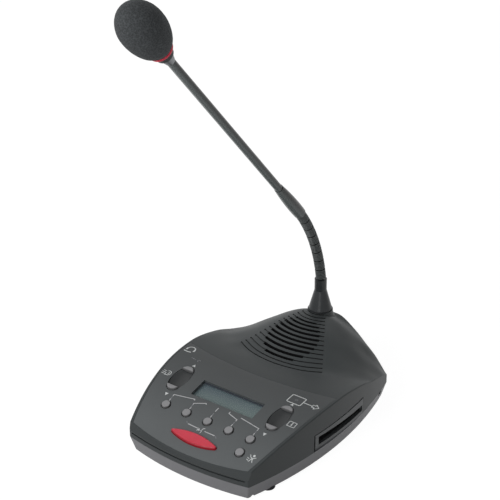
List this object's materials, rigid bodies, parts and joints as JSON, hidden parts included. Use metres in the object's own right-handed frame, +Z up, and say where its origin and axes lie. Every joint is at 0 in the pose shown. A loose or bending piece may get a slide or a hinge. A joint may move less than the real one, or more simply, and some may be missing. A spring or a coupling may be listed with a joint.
{
  "type": "conference delegate unit",
  "caption": "Desktop conference unit: a wedge-shaped casing with keys, display, card slot and slotted loudspeaker hump, and a flexible-neck microphone with foam windshield.",
  "frame": {"origin": "on the table, in the middle of the whole object's width and length", "axes": "+X to the right of the person who speaks, +Y away from that person, +Z up"},
  "size_m": [0.14, 0.2347, 0.3737],
  "materials": {
    "shell_dark": "fine satin grain",
    "shell_grey": "fine satin grain",
    "panel_grey": "satin film",
    "key_grey": "satin",
    "talk_red": "clear red, satin",
    "dish_dark": "satin",
    "window_clear": "clear",
    "lcd_green": "reflective display",
    "inner_plastic": "moulded",
    "board_green": "solder mask",
    "steel": "zinc plated",
    "led_clear": "moulded lens",
    "cloth_black": "acoustic cloth",
    "paper_grey": "pressed paper",
    "magnet_dark": "sintered",
    "rubber_black": "matte",
    "neck_dark": "satin black",
    "link_dark": "satin black",
    "tube_dark": "satin black",
    "cone_grey": "satin",
    "ring_red": "clear red",
    "foam_grey": "open foam"
  },
  "bodies": {
    "housing": {"upper_shell": "shell_dark", "base_shell": "shell_grey", "control_panel": "panel_grey", "display_window": "window_clear", "lcd_glass": "lcd_green", "lcd_back": "inner_plastic", "talk_leds": "led_clear", "dish_left": "dish_dark", "dish_right": "dish_dark", "key_board": "board_green", "key_switches": "inner_plastic", "board_screws": "steel", "card_bezel": "shell_dark", "card_reader": "inner_plastic", "reader_brackets": "steel", "slot_cloth": "cloth_black", "speaker_basket": "steel", "speaker_magnet": "magnet_dark", "speaker_cone": "paper_grey", "speaker_retainer": "inner_plastic", "speaker_screws": "steel", "headphone_socket": "inner_plastic", "bus_socket_left": "inner_plastic", "bus_socket_right": "inner_plastic", "main_board": "board_green", "board_chips": "inner_plastic", "main_screws": "steel", "ballast_plate": "steel", "feet": "rubber_black", "housing_screws": "steel", "neck_gasket": "rubber_black", "neck_collar": "neck_dark", "neck_nut": "steel"},
    "talk_button": {"talk_button": "talk_red"},
    "help_key": {"help_key": "key_grey"},
    "volume_down_key": {"volume_down_key": "key_grey"},
    "volume_up_key": {"volume_up_key": "key_grey"},
    "channel_down_key": {"channel_down_key": "key_grey"},
    "channel_up_key": {"channel_up_key": "key_grey"},
    "soft_key_1": {"soft_key_1": "key_grey"},
    "soft_key_2": {"soft_key_2": "key_grey"},
    "soft_key_3": {"soft_key_3": "key_grey"},
    "soft_key_4": {"soft_key_4": "key_grey"},
    "soft_key_5": {"soft_key_5": "key_grey"},
    "neck_link_1": {"neck_link_1": "link_dark"},
    "neck_link_2": {"neck_link_2": "link_dark"},
    "neck_link_3": {"neck_link_3": "link_dark"},
    "neck_link_4": {"neck_link_4": "link_dark"},
    "neck_link_5": {"neck_link_5": "link_dark"},
    "neck_link_6": {"neck_link_6": "link_dark"},
    "neck_link_7": {"neck_link_7": "link_dark"},
    "neck_link_8": {"neck_link_8": "link_dark"},
    "mic_arm": {"neck_sleeve": "tube_dark", "upper_tube": "tube_dark", "head_cone": "cone_grey", "head_collar": "neck_dark", "light_ring": "ring_red", "mic_capsule": "inner_plastic", "windshield": "foam_grey"}
  },
  "joints": [
    {"name": "talk_button_press", "type": "slide", "parent": "housing", "child": "talk_button", "axis": [0, 0.2805, -0.9598], "range_m": [0, 0.001], "stiffness_N_per_m": 450, "springref_m": -0.002},
    {"name": "help_key_press", "type": "slide", "parent": "housing", "child": "help_key", "axis": [0, 0.2805, -0.9598], "range_m": [0, 0.0008], "stiffness_N_per_m": 450, "springref_m": -0.002},
    {"name": "volume_down_key_press", "type": "slide", "parent": "housing", "child": "volume_down_key", "axis": [0, 0.2805, -0.9598], "range_m": [0, 0.0008], "stiffness_N_per_m": 450, "springref_m": -0.002},
    {"name": "volume_up_key_press", "type": "slide", "parent": "housing", "child": "volume_up_key", "axis": [0, 0.2805, -0.9598], "range_m": [0, 0.0008], "stiffness_N_per_m": 450, "springref_m": -0.002},
    {"name": "channel_down_key_press", "type": "slide", "parent": "housing", "child": "channel_down_key", "axis": [0, 0.2805, -0.9598], "range_m": [0, 0.0008], "stiffness_N_per_m": 450, "springref_m": -0.002},
    {"name": "channel_up_key_press", "type": "slide", "parent": "housing", "child": "channel_up_key", "axis": [0, 0.2805, -0.9598], "range_m": [0, 0.0008], "stiffness_N_per_m": 450, "springref_m": -0.002},
    {"name": "soft_key_1_press", "type": "slide", "parent": "housing", "child": "soft_key_1", "axis": [0, 0.2805, -0.9598], "range_m": [0, 0.0008], "stiffness_N_per_m": 450, "springref_m": -0.002},
    {"name": "soft_key_2_press", "type": "slide", "parent": "housing", "child": "soft_key_2", "axis": [0, 0.2805, -0.9598], "range_m": [0, 0.0008], "stiffness_N_per_m": 450, "springref_m": -0.002},
    {"name": "soft_key_3_press", "type": "slide", "parent": "housing", "child": "soft_key_3", "axis": [0, 0.2805, -0.9598], "range_m": [0, 0.0008], "stiffness_N_per_m": 450, "springref_m": -0.002},
    {"name": "soft_key_4_press", "type": "slide", "parent": "housing", "child": "soft_key_4", "axis": [0, 0.2805, -0.9598], "range_m": [0, 0.0008], "stiffness_N_per_m": 450, "springref_m": -0.002},
    {"name": "soft_key_5_press", "type": "slide", "parent": "housing", "child": "soft_key_5", "axis": [0, 0.2805, -0.9598], "range_m": [0, 0.0008], "stiffness_N_per_m": 450, "springref_m": -0.002},
    {"name": "neck_bend_1", "type": "hinge", "parent": "housing", "child": "neck_link_1", "pos_m": [0, 0.10327, 0.0914], "axis": [1, 0, 0], "range_deg": [-8, 10]},
    {"name": "neck_sway_1", "type": "hinge", "parent": "neck_link_1", "child": "neck_link_2", "pos_m": [0, 0.10149, 0.10058], "axis": [0, 0.9669, 0.2552], "range_deg": [-9, 9]},
    {"name": "neck_bend_2", "type": "hinge", "parent": "neck_link_2", "child": "neck_link_3", "pos_m": [0, 0.0991, 0.10962], "axis": [1, 0, 0], "range_deg": [-8, 10]},
    {"name": "neck_sway_2", "type": "hinge", "parent": "neck_link_3", "child": "neck_link_4", "pos_m": [0, 0.09612, 0.11848], "axis": [0, 0.9248, 0.3803], "range_deg": [-9, 9]},
    {"name": "neck_bend_3", "type": "hinge", "parent": "neck_link_4", "child": "neck_link_5", "pos_m": [0, 0.09256, 0.12713], "axis": [1, 0, 0], "range_deg": [-8, 10]},
    {"name": "neck_sway_3", "type": "hinge", "parent": "neck_link_5", "child": "neck_link_6", "pos_m": [0, 0.08845, 0.13552], "axis": [0, 0.8667, 0.4989], "range_deg": [-9, 9]},
    {"name": "neck_bend_4", "type": "hinge", "parent": "neck_link_6", "child": "neck_link_7", "pos_m": [0, 0.08378, 0.14363], "axis": [1, 0, 0], "range_deg": [-8, 10]},
    {"name": "neck_sway_4", "type": "hinge", "parent": "neck_link_7", "child": "neck_link_8", "pos_m": [0, 0.07859, 0.1514], "axis": [0, 0.7934, 0.6087], "range_deg": [-9, 9]},
    {"name": "neck_bend_5", "type": "hinge", "parent": "neck_link_8", "child": "mic_arm", "pos_m": [0, 0.0729, 0.15882], "axis": [1, 0, 0], "range_deg": [-8, 10]}
  ]
}
